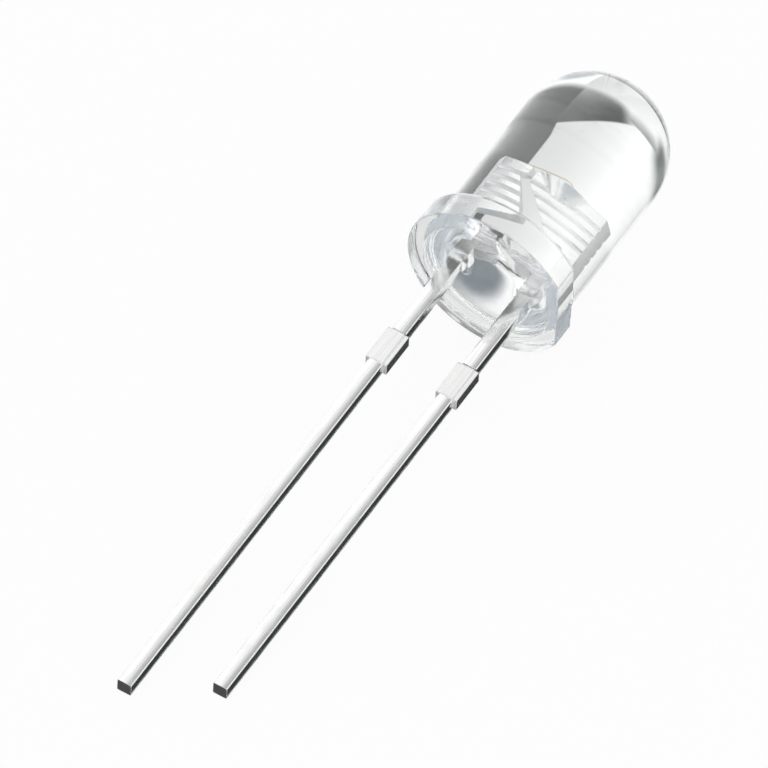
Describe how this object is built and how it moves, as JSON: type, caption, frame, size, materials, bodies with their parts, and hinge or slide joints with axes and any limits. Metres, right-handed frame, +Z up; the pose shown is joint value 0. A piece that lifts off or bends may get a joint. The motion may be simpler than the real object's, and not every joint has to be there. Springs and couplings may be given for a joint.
{
  "type": "through-hole light-emitting diode",
  "caption": "Round clear through-hole LED: domed resin lens with a flanged foot and a cathode flat, metal reflector cup and post inside, and long square leads.",
  "frame": {"origin": "on the lens axis, in the seating plane at the foot of the flange; the surface that the part lies on is 2.87 mm below it", "axes": "+Z up from the surface that the part lies on; the lens points along +Y and up by the lean of its axis, about 8 degrees, and the leads run towards -Y; +X is the cathode side, which is rolled down by about 4.75 degrees"},
  "size_m": [0.0055, 0.028, 0.0063],
  "materials": {
    "clear_resin": "water-clear cast resin, glossy",
    "plated_strip": "bright tin plating on stamped strip",
    "bond_paste": "silver-filled paste, matt",
    "chip_crystal": "sawn semiconductor, satin",
    "wire_metal": "drawn gold wire"
  },
  "bodies": {
    "root": {"lens": "clear_resin", "anode_frame": "plated_strip", "cathode_frame": "plated_strip", "bond_layer": "bond_paste", "chip": "chip_crystal", "bond_wire": "wire_metal"}
  },
  "joints": []
}
